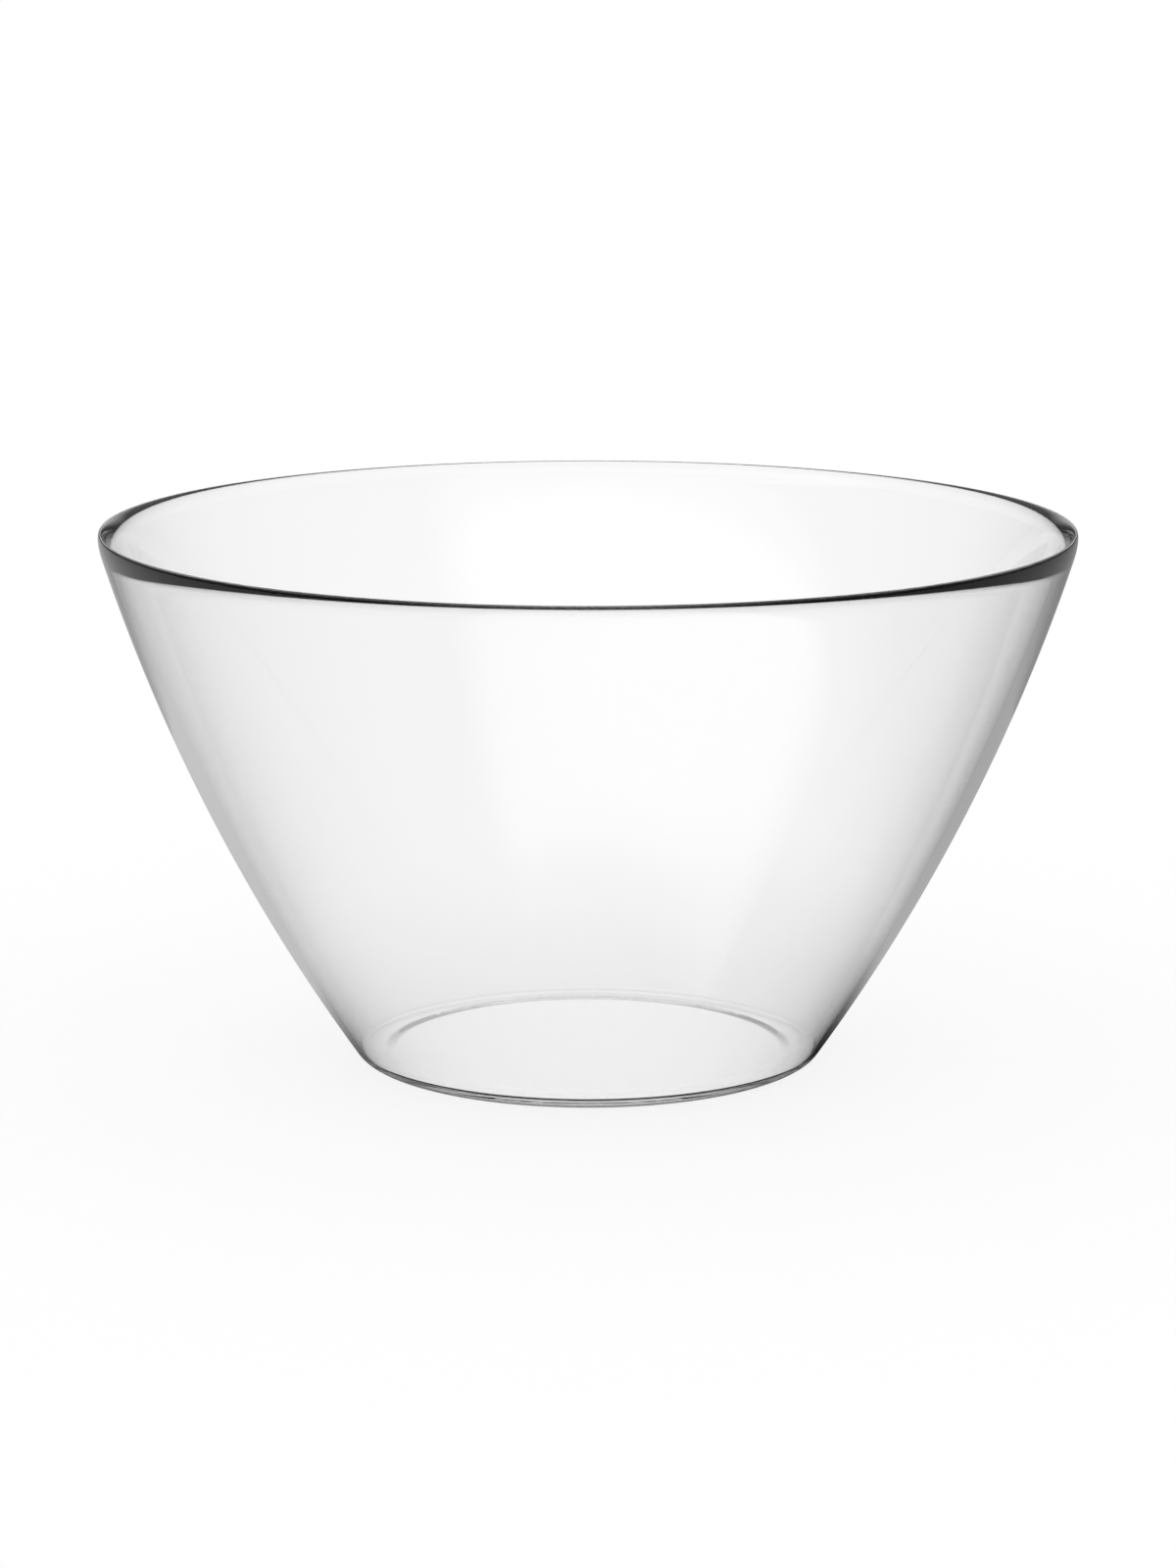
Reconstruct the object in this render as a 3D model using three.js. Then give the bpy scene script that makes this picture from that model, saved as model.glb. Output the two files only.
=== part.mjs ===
// Round salad bowl of clear, colourless glass: one piece, turned about its own axis.
// Millimetres, +Z up. The origin is the centre of the foot, on the surface that the bowl stands on.
import * as THREE from "three";

// Outside of the bowl.
const rimRadius = 125; // axis to the outside of the lip, the bowl's widest place
const bowlHeight = 138; // standing surface to the top of the lip
const footRadius = 60; // axis to where the wall would meet the standing surface if the heel were sharp
const wallCurveRadius = 486; // the wall's outside is one long arc that bulges outwards
const heelRadius = 3.5; // rounding from the wall into the standing ring

// Glass thicknesses, square to the wall's outside.
const lipThickness = 2.8; // where the lip begins
const lipRise = 6; // height, along the wall, over which the lip narrows to its rounded edge
const middleThickness = 3.3; // half-way up the wall
const lowThickness = 2; // at the foot of the wall, where the glass was stretched most

// Floor and underside.
const floorHeight = 2.7; // inside floor above the standing surface
const innerCornerRadius = 2; // rounding from the floor into the wall's inside
const ringWidth = 4.5; // flat standing ring, inwards from the heel's rounding
const recessDepth = 0.2; // shallow recess inside the ring, which keeps the middle off the surface
const recessSlopeWidth = 4; // run of the soft step from the ring up into the recess

// Fineness of the faceted surfaces.
const turnSteps = 72;
const wallSteps = 10;
const lipSteps = 12;
const roundingSteps = 4;
const recessSteps = 6;

// Profile points are (distance from the axis, height). Angles run from straight out towards straight up.
function onCircle(circle, angle) {
  const outwards = new THREE.Vector2(Math.cos(angle), Math.sin(angle));
  return outwards.multiplyScalar(circle.radius).add(circle.centre);
}

function angleOn(circle, point) {
  return Math.atan2(point.y - circle.centre.y, point.x - circle.centre.x);
}

function arcPoints(circle, start, end, steps) {
  const share = (end - start) / steps;
  return Array.from({ length: steps + 1 }, (_, step) => onCircle(circle, start + step * share));
}

// The circle centred on the axis side that keeps each of two points at its own distance from the centre.
function arcPast(low, lowDistance, high, highDistance) {
  const along = high.clone().sub(low);
  const apart = along.length();
  along.normalize();
  const inwards = new THREE.Vector2(-along.y, along.x);
  const reach = (lowDistance ** 2 - highDistance ** 2 + apart ** 2) / (2 * apart);
  const aside = Math.sqrt(lowDistance ** 2 - reach ** 2);
  const centre = low.clone().addScaledVector(along, reach).addScaledVector(inwards, aside);
  return { centre, radius: lowDistance };
}

// The circle through three points: its centre lies where the upright bisectors of two chords cross.
function circleThrough(a, b, c) {
  const ab = b.clone().sub(a);
  const ac = c.clone().sub(a);
  const twiceArea = 2 * ab.cross(ac);
  const x = (ac.y * ab.lengthSq() - ab.y * ac.lengthSq()) / twiceArea;
  const y = (ab.x * ac.lengthSq() - ac.x * ab.lengthSq()) / twiceArea;
  const centre = new THREE.Vector2(x, y).add(a);
  return { centre, radius: centre.distanceTo(a) };
}

// The rounding that rests on a level surface and touches a wall's circle from within.
function roundingOn(level, radius, wall) {
  const y = level + radius;
  const rise = y - wall.centre.y;
  const x = wall.centre.x + Math.sqrt((wall.radius - radius) ** 2 - rise ** 2);
  return { centre: new THREE.Vector2(x, y), radius };
}

const straightDown = -Math.PI / 2;
const sharpFoot = new THREE.Vector2(footRadius, 0);
const lipHalf = lipThickness / 2;

// The lip is half an ellipse, square to the wall, whose outermost and highest points give the bowl's width and
// height. It leans with the wall, and the wall runs up to it, so the two are settled together in a few passes.
function settleLip() {
  const settled = { angle: 0 };
  for (let pass = 0; pass < 12; pass += 1) {
    const reachOut = Math.hypot(lipHalf * Math.cos(settled.angle), lipRise * Math.sin(settled.angle));
    const reachUp = Math.hypot(lipHalf * Math.sin(settled.angle), lipRise * Math.cos(settled.angle));
    settled.centre = new THREE.Vector2(rimRadius - reachOut, bowlHeight - reachUp);
    settled.outside = arcPast(sharpFoot, wallCurveRadius, settled.centre, wallCurveRadius - lipHalf);
    settled.angle = angleOn(settled.outside, settled.centre);
  }
  return settled;
}

const { centre: lipCentre, outside, angle: lipAngle } = settleLip();
const footAngle = angleOn(outside, sharpFoot);

// A point of the wall's inside, square under the outside at an angle of its arc.
function underOutside(angle, thickness) {
  return onCircle({ centre: outside.centre, radius: outside.radius - thickness }, angle);
}

const inside = circleThrough(
  underOutside(footAngle, lowThickness),
  underOutside((footAngle + lipAngle) / 2, middleThickness),
  underOutside(lipAngle, lipThickness),
);

// The underside: the recess's ceiling, its soft step (half a cosine wave) and the standing ring.
function undersidePoints(ringOuterRadius) {
  const ringInnerRadius = ringOuterRadius - ringWidth;
  const step = Array.from({ length: recessSteps + 1 }, (_, i) => {
    const share = i / recessSteps;
    const radius = ringInnerRadius - recessSlopeWidth * (1 - share);
    return new THREE.Vector2(radius, (recessDepth / 2) * (1 + Math.cos(Math.PI * share)));
  });
  return [new THREE.Vector2(0, recessDepth), ...step];
}

// The outside from the heel up to the lip.
function outsidePoints(heel) {
  const heelAngle = angleOn(outside, heel.centre);
  return [
    ...arcPoints(heel, straightDown, heelAngle, roundingSteps),
    ...arcPoints(outside, heelAngle, lipAngle, wallSteps).slice(1),
  ];
}

// The lip, from the outside over the top to the inside, without the two ends that the wall's arcs give.
function lipPoints() {
  const outwards = new THREE.Vector2(Math.cos(lipAngle), Math.sin(lipAngle));
  const upwards = new THREE.Vector2(-outwards.y, outwards.x);
  return Array.from({ length: lipSteps - 1 }, (_, step) => {
    const turn = ((step + 1) / lipSteps) * Math.PI;
    const point = lipCentre.clone().addScaledVector(outwards, lipHalf * Math.cos(turn));
    return point.addScaledVector(upwards, lipRise * Math.sin(turn));
  });
}

// The inside from the lip down to the floor's centre.
function insidePoints() {
  const corner = roundingOn(floorHeight, innerCornerRadius, inside);
  const cornerAngle = angleOn(inside, corner.centre);
  const innerLipAngle = angleOn(inside, underOutside(lipAngle, lipThickness));
  return [
    ...arcPoints(inside, innerLipAngle, cornerAngle, wallSteps),
    ...arcPoints(corner, cornerAngle, straightDown, roundingSteps).slice(1),
    new THREE.Vector2(0, floorHeight),
  ];
}

function bowlProfile() {
  const heel = roundingOn(0, heelRadius, outside);
  return [...undersidePoints(heel.centre.x), ...outsidePoints(heel), ...lipPoints(), ...insidePoints()];
}

function clearGlass() {
  return new THREE.MeshStandardMaterial({
    color: 0xf3f5f5,
    roughness: 0.03,
    metalness: 0,
    transparent: true,
    opacity: 0.35,
  });
}

function glassBowl() {
  const mesh = new THREE.Mesh(new THREE.LatheGeometry(bowlProfile(), turnSteps), clearGlass());
  mesh.name = "glass_bowl";
  mesh.rotation.x = Math.PI / 2; // the profile is turned about +Y, and the bowl stands along +Z
  return mesh;
}

const bowl = new THREE.Group();
bowl.add(glassBowl());

export default bowl;
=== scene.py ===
"""Round salad bowl of clear, colourless glass, standing on a pale studio floor.

The bowl is one piece of glass turned about its own axis, so the visual model is one closed surface:
an outline in the half-plane (distance from the axis, height), carried once round the axis. Everything
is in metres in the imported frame: +Z up, origin at the centre of the foot on the standing surface.
"""
import logging
import math
from dataclasses import dataclass, field
from enum import Enum

import bpy
import numpy as np
from numpy.typing import NDArray
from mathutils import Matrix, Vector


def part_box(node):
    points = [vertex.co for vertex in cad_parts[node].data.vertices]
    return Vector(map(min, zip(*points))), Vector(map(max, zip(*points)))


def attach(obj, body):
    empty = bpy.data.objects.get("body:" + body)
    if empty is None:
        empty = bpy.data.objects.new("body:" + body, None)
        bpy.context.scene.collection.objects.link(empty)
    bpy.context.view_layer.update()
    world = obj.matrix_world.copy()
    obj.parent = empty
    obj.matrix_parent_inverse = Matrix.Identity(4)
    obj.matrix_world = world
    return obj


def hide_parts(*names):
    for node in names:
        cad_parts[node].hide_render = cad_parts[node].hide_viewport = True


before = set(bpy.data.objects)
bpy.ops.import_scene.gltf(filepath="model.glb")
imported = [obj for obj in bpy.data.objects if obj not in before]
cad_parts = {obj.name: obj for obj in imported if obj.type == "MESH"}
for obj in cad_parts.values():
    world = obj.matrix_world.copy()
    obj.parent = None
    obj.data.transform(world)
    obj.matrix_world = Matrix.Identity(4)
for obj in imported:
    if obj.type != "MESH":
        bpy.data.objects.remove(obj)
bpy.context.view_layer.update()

Array = NDArray[np.float64]
Grid = NDArray[np.int64]
log = logging.getLogger("salad_bowl")

BOWL_NODE = "glass_bowl"
BODY = "root"
MILLIMETRE = 0.001
STRAIGHT_DOWN = -math.pi / 2
BETWEEN_NONE_AND_ONE = 0.5


class NodeKind(Enum):
    """Blender's shader nodes that the finishes and the studio are wired from."""

    ADD = "ShaderNodeAddShader"
    ABSORPTION = "ShaderNodeVolumeAbsorption"
    BACKGROUND = "ShaderNodeBackground"
    BUMP = "ShaderNodeBump"
    COORDINATES = "ShaderNodeTexCoord"
    DIFFUSE = "ShaderNodeBsdfDiffuse"
    EMISSION = "ShaderNodeEmission"
    LIGHT_PATH = "ShaderNodeLightPath"
    MAP_RANGE = "ShaderNodeMapRange"
    MATERIAL_OUTPUT = "ShaderNodeOutputMaterial"
    MATH = "ShaderNodeMath"
    MIX = "ShaderNodeMix"
    MIX_SHADER = "ShaderNodeMixShader"
    NOISE = "ShaderNodeTexNoise"
    PRINCIPLED = "ShaderNodeBsdfPrincipled"
    SEPARATE = "ShaderNodeSeparateXYZ"
    VECTOR_MATH = "ShaderNodeVectorMath"
    WORLD_OUTPUT = "ShaderNodeOutputWorld"


class Sum(Enum):
    """Arithmetic of the Math node that is used here."""

    ADD = "ADD"
    MULTIPLY = "MULTIPLY"
    MAXIMUM = "MAXIMUM"
    ABSOLUTE = "ABSOLUTE"
    GREATER = "GREATER_THAN"
    ARCTAN2 = "ARCTAN2"


class Meeting(Enum):
    """A ray's meetings with the glass, by the Light Path output that counts them."""

    PASSED = "Transmission Depth"
    MIRRORED = "Glossy Depth"


class Blend(Enum):
    """How a Map Range node runs between its ends."""

    STRAIGHT = "LINEAR"
    SOFT = "SMOOTHSTEP"


@dataclass
class NodeBoard:
    """An empty node tree with short ways to place and join nodes."""

    tree: bpy.types.NodeTree

    def __post_init__(self) -> None:
        """Clear the tree of the nodes that Blender starts it with."""
        self.tree.nodes.clear()

    def place(self, kind: NodeKind, **values: object) -> bpy.types.Node:
        """Place a node and set its named sockets.

        Args:
            kind: The kind of node.
            values: Socket values by socket name, with _ for a space.

        Returns:
            The new node.
        """
        node = self.tree.nodes.new(kind.value)
        for name, value in values.items():
            node.inputs[name.replace("_", " ")].default_value = value
        return node

    def join(self, start: bpy.types.NodeSocket, end: bpy.types.NodeSocket) -> None:
        """Run a wire from one node's output to another node's input."""
        self.tree.links.new(start, end)

    def feed(self, value: "bpy.types.NodeSocket | float", end: bpy.types.NodeSocket) -> None:
        """Give an input its value: a wire where it is another node's output, else the number itself.

        Args:
            value: An output socket or a plain number.
            end: The input that takes it.
        """
        if isinstance(value, bpy.types.NodeSocket):
            self.join(value, end)
        else:
            end.default_value = value

    def work_out(
        self,
        sum_kind: Sum,
        first: "bpy.types.NodeSocket | float",
        second: "bpy.types.NodeSocket | float" = 0.0,
    ) -> bpy.types.NodeSocket:
        """Work out one sum of two values.

        Args:
            sum_kind: The arithmetic.
            first: First value.
            second: Second value, where the arithmetic has one.

        Returns:
            The result's socket.
        """
        node = self.place(NodeKind.MATH)
        node.operation = sum_kind.value
        self.feed(first, node.inputs[0])
        self.feed(second, node.inputs[1])
        return node.outputs[0]

    def carry(
        self,
        value: bpy.types.NodeSocket,
        from_range: tuple[float, float],
        to_range: tuple[float, float],
        blend: Blend = Blend.SOFT,
    ) -> bpy.types.NodeSocket:
        """Carry a value from one range to another, held at the ends.

        Args:
            value: The value's socket.
            from_range: Range of the value.
            to_range: Range of the result.
            blend: Straight, or soft at both ends.

        Returns:
            The result's socket.
        """
        node = self.place(NodeKind.MAP_RANGE)
        node.interpolation_type = blend.value
        node.inputs["From Min"].default_value = from_range[0]
        node.inputs["From Max"].default_value = from_range[1]
        node.inputs["To Min"].default_value = to_range[0]
        node.inputs["To Max"].default_value = to_range[1]
        self.join(value, node.inputs["Value"])
        return node.outputs["Result"]

    def distance(
        self, places: bpy.types.NodeSocket, centre: tuple[float, float, float]
    ) -> bpy.types.NodeSocket:
        """Measure how far each place is from a centre.

        Args:
            places: Object coordinates.
            centre: The centre.

        Returns:
            The distance's socket.
        """
        node = self.place(NodeKind.VECTOR_MATH)
        node.operation = "DISTANCE"
        node.inputs[1].default_value = centre
        self.join(places, node.inputs[0])
        return node.outputs["Value"]

    def seen_after(self, meeting: Meeting) -> bpy.types.NodeSocket:
        """Tell what the camera sees only after a meeting with the glass.

        Args:
            meeting: Passing into the glass, or being mirrored in it.

        Returns:
            1 where the camera's own ray arrives after at least one such meeting, else 0.
        """
        path = self.place(NodeKind.LIGHT_PATH)
        met = self.work_out(Sum.GREATER, path.outputs[meeting.value], BETWEEN_NONE_AND_ONE)
        from_camera = self.work_out(Sum.GREATER, BETWEEN_NONE_AND_ONE, path.outputs["Diffuse Depth"])
        return self.work_out(Sum.MULTIPLY, met, from_camera)


@dataclass(frozen=True)
class Circle:
    """A circle in the outline's half-plane; angles run from straight out towards straight up."""

    out: float
    up: float
    radius: float

    def centre(self) -> Array:
        """The centre as a point."""
        return np.array((self.out, self.up))

    def at(self, angle: float, depth: float = 0.0) -> Array:
        """The point at an angle, moved towards the centre by a depth."""
        return self.centre() + (self.radius - depth) * np.array((math.cos(angle), math.sin(angle)))

    def angle_to(self, point: Array) -> float:
        """The angle at which a point is seen from the centre."""
        return math.atan2(point[1] - self.up, point[0] - self.out)

    def arc(self, start: float, end: float, steps: int) -> Array:
        """Points at equal turns: centre plus radius times (cosine, sine) of the angle.

        Args:
            start: First angle.
            end: Last angle.
            steps: Number of equal turns between them.

        Returns:
            steps + 1 points, one a row.
        """
        angle = np.linspace(start, end, steps + 1)
        return self.centre() + self.radius * np.column_stack((np.cos(angle), np.sin(angle)))


def circle_past(low: Array, low_distance: float, high: Array, high_distance: float) -> Circle:
    """The circle, centred on the axis side, whose centre keeps its own distance from each of two points.

    Along the line from low to high the centre lies at (a squared - b squared + d squared) / 2d, with a and
    b the two distances and d the points' distance apart; the rest of a squared lies square to that line.

    Args:
        low: The lower point.
        low_distance: Its distance from the centre, which is the circle's radius.
        high: The upper point.
        high_distance: Its distance from the centre.

    Returns:
        The circle.
    """
    apart = float(np.linalg.norm(high - low))
    along = (high - low) / apart
    inwards = np.array((-along[1], along[0]))
    reach = (low_distance**2 - high_distance**2 + apart**2) / (2 * apart)
    aside = math.sqrt(low_distance**2 - reach**2)
    centre = low + reach * along + aside * inwards
    return Circle(float(centre[0]), float(centre[1]), low_distance)


def circle_through(points: Array) -> Circle:
    """The circle through three points: its centre is as far from the first as from the other two.

    Args:
        points: Three points, one a row.

    Returns:
        The circle.
    """
    chords = points[1:] - points[0]
    centre = points[0] + np.linalg.solve(2 * chords, (chords**2).sum(axis=1))
    return Circle(float(centre[0]), float(centre[1]), float(np.linalg.norm(centre - points[0])))


def rounding_on(level: float, radius: float, wall: Circle) -> Circle:
    """The rounding that rests on a level surface and touches a wall's circle from within.

    Args:
        level: Height of the surface.
        radius: The rounding's radius.
        wall: The wall's circle.

    Returns:
        The rounding's circle.
    """
    up = level + radius
    out = wall.out + math.sqrt((wall.radius - radius) ** 2 - (up - wall.up) ** 2)
    return Circle(out, up, radius)


@dataclass(frozen=True)
class BowlOutline:
    """The bowl's half outline, from the axis under the foot round the lip to the axis on the floor."""

    rim_radius: float
    height: float
    foot_radius: float = 60 * MILLIMETRE
    wall_curve_radius: float = 486 * MILLIMETRE
    heel_radius: float = 3.5 * MILLIMETRE
    lip_thickness: float = 2.8 * MILLIMETRE
    lip_rise: float = 6 * MILLIMETRE
    middle_thickness: float = 3.3 * MILLIMETRE
    low_thickness: float = 2 * MILLIMETRE
    floor_height: float = 2.7 * MILLIMETRE
    inner_corner_radius: float = 2 * MILLIMETRE
    ring_width: float = 4.5 * MILLIMETRE
    recess_depth: float = 0.2 * MILLIMETRE
    recess_slope_width: float = 4 * MILLIMETRE
    wall_steps: int = 72
    lip_steps: int = 48
    rounding_steps: int = 14
    recess_steps: int = 16
    ring_steps: int = 4
    level_steps: int = 8

    @classmethod
    def of_node(cls, node: str) -> "BowlOutline":
        """The outline whose width and height are those of a node of the frame, to a tenth of a millimetre.

        Args:
            node: The bowl's node.

        Returns:
            The outline.
        """
        low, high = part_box(node)
        tenth = MILLIMETRE / 10
        rim_radius = round((high.x - low.x) / 2 / tenth) * tenth
        return cls(rim_radius=rim_radius, height=round(high.z / tenth) * tenth)

    def settled_wall(self, passes: int = 12) -> tuple[Array, Circle, float]:
        """The lip's place and the wall's outside, which runs up to it, settled together in a few passes.

        The lip is half an ellipse square to the wall. Leaning by an angle, it reaches the hypotenuse of
        (half thickness x cosine, rise x sine) outwards and of (half thickness x sine, rise x cosine)
        upwards, which gives the bowl's width and height. The outside is one long arc from the sharp foot.

        Args:
            passes: How often the lean is worked out afresh.

        Returns:
            The lip's centre, the outside's circle and the angle of the lip on it.
        """
        half = self.lip_thickness / 2
        curve = self.wall_curve_radius
        sharp_foot = np.array((self.foot_radius, 0.0))
        angle = 0.0
        for _ in range(passes):
            reach_out = math.hypot(half * math.cos(angle), self.lip_rise * math.sin(angle))
            reach_up = math.hypot(half * math.sin(angle), self.lip_rise * math.cos(angle))
            centre = np.array((self.rim_radius - reach_out, self.height - reach_up))
            outside = circle_past(sharp_foot, curve, centre, curve - half)
            angle = outside.angle_to(centre)
        return centre, outside, angle

    def inside(self, outside: Circle, lip_angle: float) -> Circle:
        """The wall's inside: the arc that leaves the low, middle and lip thicknesses under the outside.

        Args:
            outside: The wall's outside.
            lip_angle: Angle of the lip on it.

        Returns:
            The inside's circle.
        """
        foot_angle = outside.angle_to(np.array((self.foot_radius, 0.0)))
        low = outside.at(foot_angle, self.low_thickness)
        middle = outside.at((foot_angle + lip_angle) / 2, self.middle_thickness)
        return circle_through(np.array((low, middle, outside.at(lip_angle, self.lip_thickness))))

    def underside(self, ring_outer: float) -> Array:
        """The recess's ceiling, its soft step (half a cosine wave) and the flat standing ring.

        Args:
            ring_outer: Radius at which the standing ring runs into the heel.

        Returns:
            The points, from the axis outwards.
        """
        ring_inner = ring_outer - self.ring_width
        share = np.linspace(0.0, 1.0, self.recess_steps + 1)
        step_out = ring_inner - self.recess_slope_width * (1 - share)
        step_up = self.recess_depth / 2 * (1 + np.cos(math.pi * share))
        ceiling_out = np.linspace(0.0, step_out[0], self.level_steps + 1)[:-1]
        ceiling = np.column_stack((ceiling_out, np.full(self.level_steps, self.recess_depth)))
        ring_out = np.linspace(ring_inner, ring_outer, self.ring_steps + 1)[1:-1]
        ring = np.column_stack((ring_out, np.zeros_like(ring_out)))
        return np.vstack((ceiling, np.column_stack((step_out, step_up)), ring))

    def lip(self, centre: Array, lip_angle: float) -> Array:
        """The lip, from the outside over the top to the inside: half an ellipse square to the wall.

        Across the wall it is the half thickness times the cosine of the turn, and along the wall the rise
        times its sine.

        Args:
            centre: Middle of the wall where the lip begins.
            lip_angle: Angle of the wall's outside there.

        Returns:
            The points, without the two ends that the wall's arcs give.
        """
        turn = np.linspace(0.0, math.pi, self.lip_steps + 1)[1:-1]
        outwards = np.array((math.cos(lip_angle), math.sin(lip_angle)))
        upwards = np.array((-outwards[1], outwards[0]))
        across = self.lip_thickness / 2 * np.cos(turn)
        return centre + np.outer(across, outwards) + np.outer(self.lip_rise * np.sin(turn), upwards)

    def points(self) -> Array:
        """All points of the outline, in order.

        Returns:
            The points (distance from the axis, height), one a row; the first and last lie on the axis.
        """
        lip_centre, outside, lip_angle = self.settled_wall()
        inside = self.inside(outside, lip_angle)
        heel = rounding_on(0.0, self.heel_radius, outside)
        corner = rounding_on(self.floor_height, self.inner_corner_radius, inside)
        heel_angle = outside.angle_to(heel.centre())
        inner_lip_angle = inside.angle_to(outside.at(lip_angle, self.lip_thickness))
        corner_angle = inside.angle_to(corner.centre())
        floor_out = np.linspace(corner.out, 0.0, self.level_steps + 1)[1:]
        return np.vstack(
            (
                self.underside(heel.out),
                heel.arc(STRAIGHT_DOWN, heel_angle, self.rounding_steps),
                outside.arc(heel_angle, lip_angle, self.wall_steps)[1:],
                self.lip(lip_centre, lip_angle),
                inside.arc(inner_lip_angle, corner_angle, self.wall_steps),
                corner.arc(corner_angle, STRAIGHT_DOWN, self.rounding_steps)[1:],
                np.column_stack((floor_out, np.full(self.level_steps, self.floor_height))),
            )
        )


@dataclass(frozen=True)
class ClearGlass:
    """Fire-polished colourless glass: clear, and a little grey where the light runs along it."""

    name: str = "clear_glass_fire_polished"
    refraction: float = 1.5
    tint: tuple[float, float, float, float] = (1.0, 1.0, 1.0, 1.0)
    absorbed_share: float = 0.9
    absorption_density: float = 2.2
    smoothest: float = 0.0
    roughest: float = 0.012
    polish_scale: float = 55.0
    polish_detail: float = 3.0
    polish_span: tuple[float, float] = (0.35, 0.7)
    wave_scale: float = 38.0
    wave_detail: float = 1.0
    wave_height: float = 0.01 * MILLIMETRE
    wave_strength: float = 0.25

    def material(self) -> bpy.types.Material:
        """The glass as a material: refraction, grey absorption, and a faint unevenness of the fire polish.

        Returns:
            The material.
        """
        material = bpy.data.materials.new(self.name)
        material.use_nodes = True
        board = NodeBoard(material.node_tree)
        glass = board.place(
            NodeKind.PRINCIPLED,
            Base_Color=self.tint,
            IOR=self.refraction,
            Transmission_Weight=1.0,
        )
        places = board.place(NodeKind.COORDINATES).outputs["Object"]
        self.polish(board, places, glass)
        clear_share = 1.0 - self.absorbed_share
        absorption = board.place(
            NodeKind.ABSORPTION,
            Color=(clear_share, clear_share, clear_share, 1.0),
            Density=self.absorption_density,
        )
        output = board.place(NodeKind.MATERIAL_OUTPUT)
        board.join(glass.outputs["BSDF"], output.inputs["Surface"])
        board.join(absorption.outputs["Volume"], output.inputs["Volume"])
        return material

    def polish(self, board: NodeBoard, places: bpy.types.NodeSocket, glass: bpy.types.Node) -> None:
        """Vary the polish: patches of slightly softer gloss, and long low waves of a few micrometres.

        Args:
            board: The material's nodes.
            places: Object coordinates.
            glass: The glass shader.
        """
        patches = board.place(NodeKind.NOISE, Scale=self.polish_scale, Detail=self.polish_detail)
        board.join(places, patches.inputs["Vector"])
        gloss = board.carry(patches.outputs[0], self.polish_span, (self.smoothest, self.roughest))
        board.join(gloss, glass.inputs["Roughness"])
        waves = board.place(NodeKind.NOISE, Scale=self.wave_scale, Detail=self.wave_detail)
        board.join(places, waves.inputs["Vector"])
        bump = board.place(NodeKind.BUMP, Strength=self.wave_strength, Distance=self.wave_height)
        board.join(waves.outputs[0], bump.inputs["Height"])
        board.join(bump.outputs["Normal"], glass.inputs["Normal"])


@dataclass(frozen=True)
class Unevenness:
    """Slow swells of the wall that a spun and fire-polished bowl keeps, a few hundredths of a millimetre."""

    swell: float = 0.03 * MILLIMETRE
    start_height: float = 6 * MILLIMETRE
    full_height: float = 30 * MILLIMETRE
    swells_round: tuple[int, ...] = (2, 3, 5, 7)
    swells_up: tuple[float, ...] = (1.0, 0.5, 1.5, 2.0)
    turn_offsets: tuple[float, ...] = (0.4, 2.1, 3.7, 5.2)

    def over(self, share: Array, height: Array, turn: Array) -> Array:
        """Distance that the surface moves outwards: a mean of waves round the bowl and along its outline.

        Each wave is the sine of (count round x turn + 2 pi x count along x share of the outline + offset).
        It grows from nothing at start_height to its full size at full_height, so the foot stays flat.

        Args:
            share: Share of the outline's length, one a row of the surface.
            height: Height of each row.
            turn: Angle of each column.

        Returns:
            The distances, rows by columns.
        """
        round_count = np.array(self.swells_round)[:, None, None]
        up_count = np.array(self.swells_up)[:, None, None]
        offset = np.array(self.turn_offsets)[:, None, None]
        phase = round_count * turn[None, None, :] + 2 * math.pi * up_count * share[None, :, None] + offset
        rise = np.clip((height - self.start_height) / (self.full_height - self.start_height), 0.0, 1.0)
        return self.swell * (rise**2 * (3 - 2 * rise))[:, None] * np.sin(phase).mean(axis=0)


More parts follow.
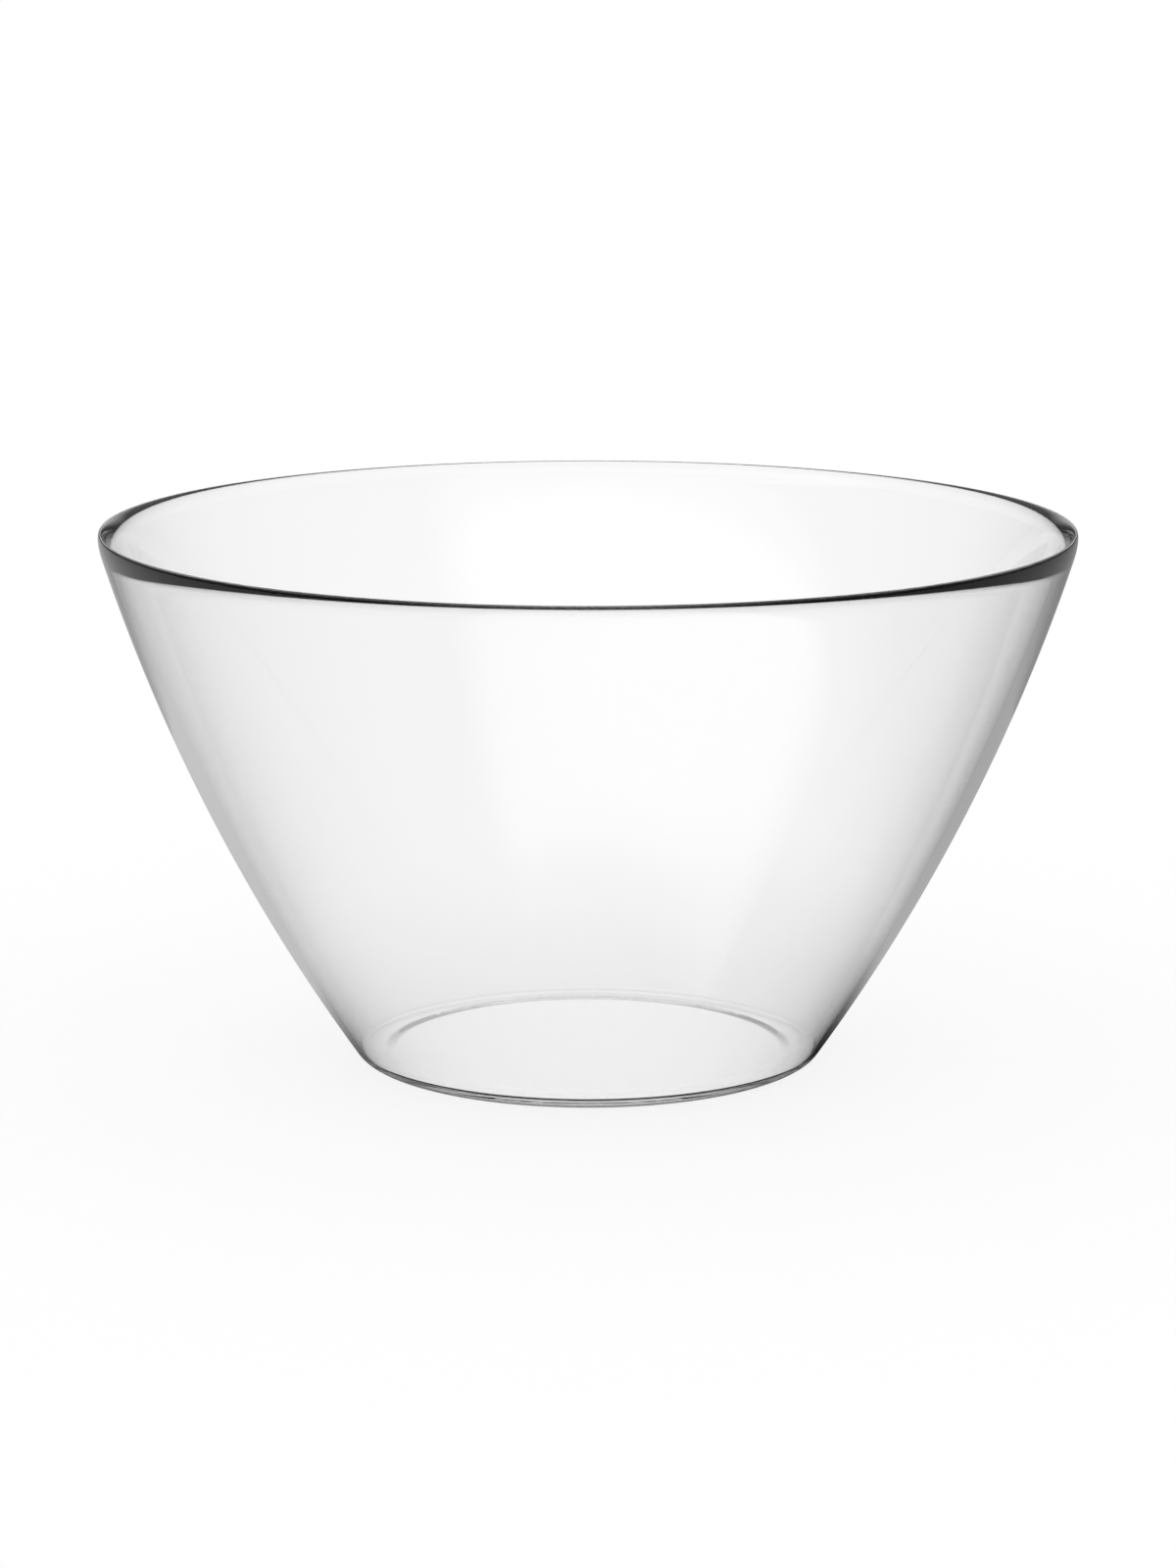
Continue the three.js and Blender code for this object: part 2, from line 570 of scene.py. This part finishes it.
@dataclass
class GlassBowl:
    """The bowl: its outline carried once round the axis, closed at both poles."""

    outline: BowlOutline
    finish: ClearGlass = field(default_factory=ClearGlass)
    unevenness: Unevenness = field(default_factory=Unevenness)
    turn_steps: int = 384
    name: str = "salad_bowl_glass"

    def surface(self) -> Array:
        """The rows between the poles: each outline point at (out cos turn, out sin turn, up).

        Every point is first moved along the outline's own normal by the unevenness.

        Returns:
            Points in rows by columns.
        """
        outline = self.outline.points()
        along = np.gradient(outline, axis=0)
        along /= np.linalg.norm(along, axis=1, keepdims=True)
        lengths = np.linalg.norm(np.diff(outline, axis=0), axis=1)
        share = np.concatenate(([0.0], np.cumsum(lengths))) / lengths.sum()
        turn = np.linspace(0.0, 2 * math.pi, self.turn_steps, endpoint=False)
        moved = self.unevenness.over(share, outline[:, 1], turn)
        out = outline[:, :1] + moved * along[:, 1:]
        up = outline[:, 1:] - moved * along[:, :1]
        return np.stack((out * np.cos(turn), out * np.sin(turn), up), axis=-1)[1:-1]

    def faces(self, rows: int) -> tuple[Grid, Grid]:
        """Corner numbers: four-sided faces between the rows, and a fan of triangles at each pole.

        Args:
            rows: Number of rows between the poles.

        Returns:
            The four-sided faces and the triangles, one a row.
        """
        row, column = np.meshgrid(np.arange(rows - 1), np.arange(self.turn_steps), indexing="ij")
        here = row * self.turn_steps + column
        beside = row * self.turn_steps + (column + 1) % self.turn_steps
        quads = np.stack((here, beside, beside + self.turn_steps, here + self.turn_steps), axis=-1)
        first = np.arange(self.turn_steps)
        second = (first + 1) % self.turn_steps
        last_row = (rows - 1) * self.turn_steps
        under_pole = np.full(self.turn_steps, rows * self.turn_steps)
        below = np.column_stack((under_pole, second, first))
        above = np.column_stack((under_pole + 1, last_row + first, last_row + second))
        return quads.reshape(-1, 4), np.vstack((below, above))

    def build(self) -> bpy.types.Object:
        """Put the surface into a mesh and let it stand for the CAD bowl.

        Returns:
            The bowl's object.
        """
        surface = self.surface()
        outline = self.outline.points()
        poles = np.array(((0.0, 0.0, outline[0, 1]), (0.0, 0.0, outline[-1, 1])))
        points = np.vstack((surface.reshape(-1, 3), poles))
        quads, triangles = self.faces(len(surface))
        corners = np.concatenate((quads.ravel(), triangles.ravel()))
        sides = np.concatenate((np.full(len(quads), 4), np.full(len(triangles), 3)))
        mesh = bpy.data.meshes.new(self.name)
        mesh.vertices.add(len(points))
        mesh.vertices.foreach_set("co", points.ravel())
        mesh.loops.add(len(corners))
        mesh.loops.foreach_set("vertex_index", corners)
        mesh.polygons.add(len(sides))
        mesh.polygons.foreach_set("loop_start", np.cumsum(sides) - sides)
        mesh.polygons.foreach_set("use_smooth", np.ones(len(sides), dtype=bool))
        mesh.update(calc_edges=True)
        mesh.validate()
        piece = bpy.data.objects.new(self.name, mesh)
        bpy.context.scene.collection.objects.link(piece)
        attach(piece, BODY)
        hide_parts(BOWL_NODE)
        return piece

    def dress(self, piece: bpy.types.Object) -> None:
        """Give the bowl its glass."""
        piece.data.materials.append(self.finish.material())


@dataclass(frozen=True)
class StudioFloor:
    """Plain white floor that keeps the bowl's faint shadow.

    Mirrored in the glass it is dimmer and its light is painted: a painted shadow under the bowl and a little
    in front of it, a painted pool of light further in front, and painted shade, greyer to the right than to
    the left.
    """

    name: str = "studio_floor"
    half_side: float = 12.0
    drop: float = 0.2 * MILLIMETRE
    paleness: float = 0.9
    own_light: float = 0.75
    lit_share: float = 0.28
    # Painted pool of light on the floor in front of the bowl, seen only in reflections.
    painted_pool_centre: tuple[float, float, float] = (0.08, -0.22, 0.0)
    painted_pool_edge: tuple[float, float] = (0.05, 0.35)
    painted_pool_level: float = 0.85
    # Painted shadow on the floor in reflections: dark under the bowl and a little in front of it.
    painted_shadow_centre: tuple[float, float, float] = (0.012, -0.035, 0.0)
    painted_shadow_zone: tuple[float, float] = (0.055, 0.13)
    # Painted shade on the floor in reflections: greyer to the right than to the left, between these x
    # limits.
    sides: tuple[float, float] = (-0.25, 0.25)
    painted_side_shade_levels: tuple[float, float] = (0.57, 0.38)

    def build(self) -> bpy.types.Object:
        """Lay the floor just under the standing surface.

        Returns:
            The floor's object.
        """
        side = self.half_side
        level = -self.drop
        corners = [(-side, -side, level), (side, -side, level), (side, side, level), (-side, side, level)]
        mesh = bpy.data.meshes.new(self.name)
        mesh.from_pydata(corners, [], [(0, 1, 2, 3)])
        floor = bpy.data.objects.new(self.name, mesh)
        bpy.context.scene.collection.objects.link(floor)
        return floor

    def dress(self, floor: bpy.types.Object) -> None:
        """Paint the floor: white paper to the eye and through the glass, dimmer in reflections, where its
        light and shade are painted.

        Args:
            floor: The floor's object.
        """
        material = bpy.data.materials.new("studio_paper")
        material.use_nodes = True
        board = NodeBoard(material.node_tree)
        seen = board.place(NodeKind.MIX_SHADER)
        board.join(board.seen_after(Meeting.MIRRORED), seen.inputs["Fac"])
        board.join(self.paper(board), seen.inputs[1])
        board.join(self.mirrored(board), seen.inputs[2])
        output = board.place(NodeKind.MATERIAL_OUTPUT)
        board.join(seen.outputs[0], output.inputs["Surface"])
        floor.data.materials.append(material)

    def paper(self, board: NodeBoard) -> bpy.types.NodeSocket:
        """White paper: mostly its own even light, and a lesser share that takes the bowl's shadow.

        Args:
            board: The material's nodes.

        Returns:
            The shader's socket.
        """
        grey = self.paleness * self.lit_share
        lit = board.place(NodeKind.DIFFUSE, Color=(grey, grey, grey, 1.0))
        glow = board.place(NodeKind.EMISSION, Strength=self.own_light)
        white = board.place(NodeKind.ADD)
        board.join(lit.outputs[0], white.inputs[0])
        board.join(glow.outputs[0], white.inputs[1])
        return white.outputs[0]

    def mirrored(self, board: NodeBoard) -> bpy.types.NodeSocket:
        """The floor in reflections, all painted light: the lighter of the painted side shade and the painted
        pool of light, times nothing in the painted shadow zone.

        Args:
            board: The material's nodes.

        Returns:
            The shader's socket.
        """
        places = board.place(NodeKind.COORDINATES).outputs["Object"]
        split = board.place(NodeKind.SEPARATE)
        board.join(places, split.inputs[0])
        # Painted shade: in reflections the floor runs from lighter at the left to greyer at the right.
        painted_side_shade_level = board.carry(split.outputs["X"], self.sides, self.painted_side_shade_levels)
        # Painted pool of light: brightest in front of the bowl, fading with distance from its centre.
        from_pool = board.distance(places, self.painted_pool_centre)
        painted_pool_level = board.carry(from_pool, self.painted_pool_edge, (self.painted_pool_level, 0.0))
        # Painted shadow: in reflections the floor fades to nothing near the bowl, reaching furthest in front
        # of it.
        clear = board.carry(board.distance(places, self.painted_shadow_centre), self.painted_shadow_zone, (0.0, 1.0))
        level = board.work_out(Sum.MAXIMUM, painted_side_shade_level, painted_pool_level)
        light = board.place(NodeKind.EMISSION)
        board.join(board.work_out(Sum.MULTIPLY, level, clear), light.inputs["Strength"])
        return light.outputs[0]


@dataclass(frozen=True)
class SoftPanel:
    """An upright white panel with soft edges, seen in the glass's reflections; all sizes are in degrees."""

    turn: float
    half_width: float
    low: float
    high: float
    level: float
    side_edge: float = 16.0
    low_edge: float = 5.0
    high_edge: float = 5.0

    @staticmethod
    def across(middle: float, edge: float) -> tuple[float, float]:
        """Both ends of a soft edge, in radians."""
        return math.radians(middle - edge), math.radians(middle + edge)

    def brightness(
        self, board: NodeBoard, direction: bpy.types.bpy_prop_collection
    ) -> bpy.types.NodeSocket:
        """Brightness of the panel in a direction: full inside, none outside, soft across each edge.

        The turn is measured from the camera's side of the bowl towards the right: the angle of (x, -y),
        turned back by the panel's own place. Height goes by the sine of the elevation.

        Args:
            board: The world's nodes.
            direction: The direction's three parts.

        Returns:
            The brightness.
        """
        place = math.radians(self.turn)
        ahead = board.work_out(
            Sum.ADD,
            board.work_out(Sum.MULTIPLY, direction["X"], math.sin(place)),
            board.work_out(Sum.MULTIPLY, direction["Y"], -math.cos(place)),
        )
        aside = board.work_out(
            Sum.ADD,
            board.work_out(Sum.MULTIPLY, direction["X"], math.cos(place)),
            board.work_out(Sum.MULTIPLY, direction["Y"], math.sin(place)),
        )
        turned = board.work_out(Sum.ABSOLUTE, board.work_out(Sum.ARCTAN2, aside, ahead))
        level = board.carry(turned, self.across(self.half_width, self.side_edge), (self.level, 0.0))
        for middle, edge, ends in (
            (self.low, self.low_edge, (0.0, 1.0)),
            (self.high, self.high_edge, (1.0, 0.0)),
        ):
            start, end = self.across(middle, edge)
            share = board.carry(direction["Z"], (math.sin(start), math.sin(end)), ends)
            level = board.work_out(Sum.MULTIPLY, level, share)
        return level


@dataclass(frozen=True)
class StudioSky:
    """White surroundings for the eye and through the glass; a soft, darker studio in reflections."""

    name: str = "studio_sky"
    white_level: float = 1.0
    backdrop_top: float = math.sin(math.radians(10))
    dim_from: float = math.sin(math.radians(25))
    dim_level: float = 0.1
    horizon_level: float = 0.05
    overhead_level: float = 1.3
    panels: tuple[SoftPanel, ...] = (
        SoftPanel(
            turn=-21, half_width=66, low=25.5, high=50, level=1.5, side_edge=20, low_edge=2.5, high_edge=8
        ),
        SoftPanel(turn=180, half_width=24, low=7, high=35, level=1.2, side_edge=10),
    )

    def build(self) -> None:
        """Make the world: white, except that mirrored rays meet the dim studio and its soft panels."""
        world = bpy.data.worlds.new(self.name)
        world.use_nodes = True
        bpy.context.scene.world = world
        board = NodeBoard(world.node_tree)
        split = board.place(NodeKind.SEPARATE)
        board.join(board.place(NodeKind.COORDINATES).outputs["Generated"], split.inputs[0])
        backdrop_levels = (self.white_level, self.dim_level)
        backdrop = board.carry(split.outputs["Z"], (self.backdrop_top, self.dim_from), backdrop_levels)
        shade = self.choose(board, Meeting.PASSED, self.white_level, backdrop)
        shade = self.choose(board, Meeting.MIRRORED, shade, self.studio(board, split.outputs))
        light = board.place(NodeKind.BACKGROUND, Color=(1.0, 1.0, 1.0, 1.0))
        board.join(shade, light.inputs["Strength"])
        output = board.place(NodeKind.WORLD_OUTPUT)
        board.join(light.outputs[0], output.inputs["Surface"])

    def choose(
        self,
        board: NodeBoard,
        meeting: Meeting,
        before: "bpy.types.NodeSocket | float",
        after: bpy.types.NodeSocket,
    ) -> bpy.types.NodeSocket:
        """Choose between two brightnesses by whether the camera's ray has met the glass.

        Args:
            board: The world's nodes.
            meeting: The kind of meeting.
            before: Brightness without one.
            after: Brightness after one.

        Returns:
            The chosen brightness.
        """
        shade = board.place(NodeKind.MIX)
        board.join(board.seen_after(meeting), shade.inputs["Factor"])
        board.feed(before, shade.inputs["A"])
        board.join(after, shade.inputs["B"])
        return shade.outputs["Result"]

    def studio(self, board: NodeBoard, direction: bpy.types.bpy_prop_collection) -> bpy.types.NodeSocket:
        """Brightness of the studio: dark at the horizon, light overhead, with soft white panels.

        The overhead light grows with the sine of the elevation.

        Args:
            board: The world's nodes.
            direction: The direction's three parts.

        Returns:
            The brightness.
        """
        levels = (self.horizon_level, self.overhead_level)
        level = board.carry(direction["Z"], (0.0, 1.0), levels, Blend.STRAIGHT)
        for panel in self.panels:
            level = board.work_out(Sum.MAXIMUM, level, panel.brightness(board, direction))
        return level


@dataclass(frozen=True)
class PhotoCamera:
    """Camera in front of the bowl, a little above it, looking slightly down."""

    name: str = "photo_camera"
    distance: float = 1.114535
    height: float = 0.304419
    look_down: float = 0.207086985
    lens_mm: float = 100.754
    sensor_mm: float = 36.0

    def build(self) -> None:
        """Set the camera up and make it the scene's."""
        camera = bpy.data.cameras.new(self.name)
        camera.lens = self.lens_mm
        camera.sensor_width = self.sensor_mm
        holder = bpy.data.objects.new(self.name, camera)
        holder.location = (0.0, -self.distance, self.height)
        holder.rotation_euler = (math.pi / 2 - self.look_down, 0.0, 0.0)
        bpy.context.scene.collection.objects.link(holder)
        bpy.context.scene.camera = holder


def set_light_paths(scene: bpy.types.Scene, bounces: int = 32) -> None:
    """Let light pass through and along the glass often enough to come out again.

    Args:
        scene: The scene.
        bounces: Most meetings of a ray with the glass.
    """
    scene.view_settings.view_transform = "Standard"
    scene.cycles.max_bounces = bounces
    scene.cycles.transmission_bounces = bounces
    scene.cycles.glossy_bounces = bounces


def main() -> None:
    """Build the bowl, then the floor, the light and the camera around it."""
    logging.basicConfig(level=logging.INFO, format="%(name)s: %(message)s")
    set_light_paths(bpy.context.scene)
    bowl = GlassBowl(BowlOutline.of_node(BOWL_NODE))
    piece = bowl.build()
    bowl.dress(piece)
    log.info("%s: %d points, %d faces", piece.name, len(piece.data.vertices), len(piece.data.polygons))
    floor = StudioFloor()
    paper = floor.build()
    floor.dress(paper)
    StudioSky().build()
    PhotoCamera().build()
    log.info("%s, sky and camera are set", paper.name)


if __name__ == "__main__":
    main()
